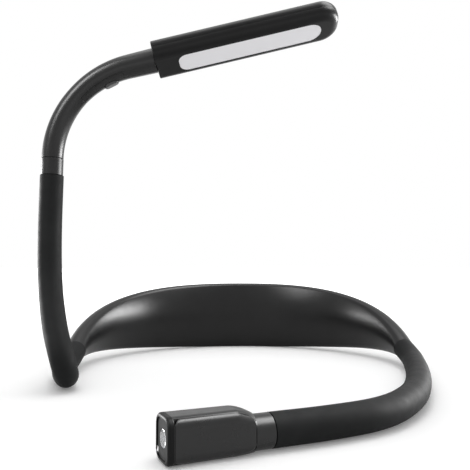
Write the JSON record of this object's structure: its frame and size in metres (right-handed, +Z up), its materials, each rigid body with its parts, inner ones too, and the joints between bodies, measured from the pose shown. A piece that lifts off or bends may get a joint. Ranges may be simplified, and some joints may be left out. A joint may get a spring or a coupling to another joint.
{
  "type": "neck reading light",
  "caption": "Hands-free reading light with a soft neck band and gooseneck arms that carry a bar lamp head and a small battery torch.",
  "frame": {"origin": "centre of the light's footprint, on the table it lies on", "axes": "+Z up from the table, +Y towards the back of the neck band, +X towards the torch arm's side"},
  "size_m": [0.2282, 0.2981, 0.2136],
  "materials": {
    "skin": "satin silicone skin",
    "foam": "closed-cell foam",
    "spring_steel": "blued spring strip",
    "cable": "matte insulation",
    "crimp": "pressed, plain",
    "sleeve": "matte soft-touch sleeve",
    "gooseneck": "wound steel hose",
    "ferrule": "dark grey, fine satin",
    "casing": "black, glossy",
    "button": "black, satin",
    "pivot": "black acetal",
    "diffuser": "white, frosted",
    "reflector_white": "white, satin",
    "board": "green lacquer",
    "led": "yellow phosphor",
    "switch": "black",
    "mirror_chrome": "bright vacuum-metallised",
    "lens": "clear",
    "cell": "silver pouch foil",
    "socket": "plated steel"
  },
  "bodies": {
    "neck_band": {"neck_cover": "skin", "neck_core": "foam", "neck_spine": "spring_steel", "neck_cable": "cable", "lamp_core_crimp": "crimp", "torch_core_crimp": "crimp", "lamp_sleeve_lower": "sleeve", "torch_sleeve_rear": "sleeve"},
    "lamp_arm_lower": {"lamp_sleeve_middle": "sleeve", "lamp_gooseneck": "gooseneck", "lamp_cable": "cable"},
    "lamp_arm_upper": {"lamp_sleeve_upper": "sleeve", "lamp_ferrule": "ferrule", "arm_shell": "casing", "arm_cover": "casing", "lamp_switch": "switch", "lamp_switch_board": "board", "arm_cable": "cable", "head_pivot": "pivot"},
    "lamp_button": {"lamp_button": "button"},
    "lamp_head": {"head_top_casing": "casing", "head_bottom_casing": "casing", "head_diffuser": "diffuser", "head_reflector_tray": "reflector_white", "head_led_board": "board", "head_leds": "led"},
    "torch_arm": {"torch_sleeve_middle": "sleeve", "torch_gooseneck": "gooseneck", "torch_cable": "cable"},
    "torch": {"torch_sleeve_front": "sleeve", "torch_frame": "casing", "torch_front_cover": "casing", "torch_rear_cover": "casing", "torch_end_cap": "casing", "torch_reflector": "mirror_chrome", "torch_lens": "lens", "torch_led": "led", "torch_board": "board", "battery_cell": "cell", "control_board": "board", "charge_socket": "socket", "torch_switch": "switch"},
    "torch_button": {"torch_button": "button"}
  },
  "joints": [
    {"name": "lamp_bend_lower", "type": "hinge", "parent": "neck_band", "child": "lamp_arm_lower", "pos_m": [-0.10259, -0.02128, 0.043], "axis": [1, 0, 0], "range_deg": [-35, 35], "deforming": ["lamp_sleeve_lower", "lamp_sleeve_middle", "lamp_gooseneck", "lamp_cable"]},
    {"name": "lamp_bend_upper", "type": "hinge", "parent": "lamp_arm_lower", "child": "lamp_arm_upper", "pos_m": [-0.10747, -0.01095, 0.097], "axis": [0, 1, 0], "range_deg": [-35, 35], "deforming": ["lamp_sleeve_middle", "lamp_sleeve_upper", "lamp_gooseneck", "lamp_cable"]},
    {"name": "lamp_button_press", "type": "slide", "parent": "lamp_arm_upper", "child": "lamp_button", "axis": [-0.454, 0, 0.891], "range_m": [0, 0.0005], "stiffness_N_per_m": 1500, "springref_m": -0.0003},
    {"name": "head_roll", "type": "hinge", "parent": "lamp_arm_upper", "child": "lamp_head", "pos_m": [-0.0492, -0.01095, 0.18245], "axis": [0.9724, 0, 0.2334], "range_deg": [-60, 60]},
    {"name": "torch_bend_side", "type": "hinge", "parent": "neck_band", "child": "torch_arm", "pos_m": [0.09411, -0.02545, 0.0065], "axis": [0, 0, 1], "range_deg": [-25, 35], "deforming": ["torch_sleeve_rear", "torch_sleeve_middle", "torch_gooseneck", "torch_cable"]},
    {"name": "torch_bend_front", "type": "hinge", "parent": "torch_arm", "child": "torch", "pos_m": [0.04541, -0.10845, 0.0065], "axis": [-0.5026, 0.8645, 0], "range_deg": [-35, 45], "deforming": ["torch_sleeve_middle", "torch_sleeve_front", "torch_gooseneck", "torch_cable"]},
    {"name": "torch_button_press", "type": "slide", "parent": "torch", "child": "torch_button", "axis": [0.4067, -0.9135, 0], "range_m": [0, 0.0005], "stiffness_N_per_m": 1500, "springref_m": -0.0003}
  ]
}
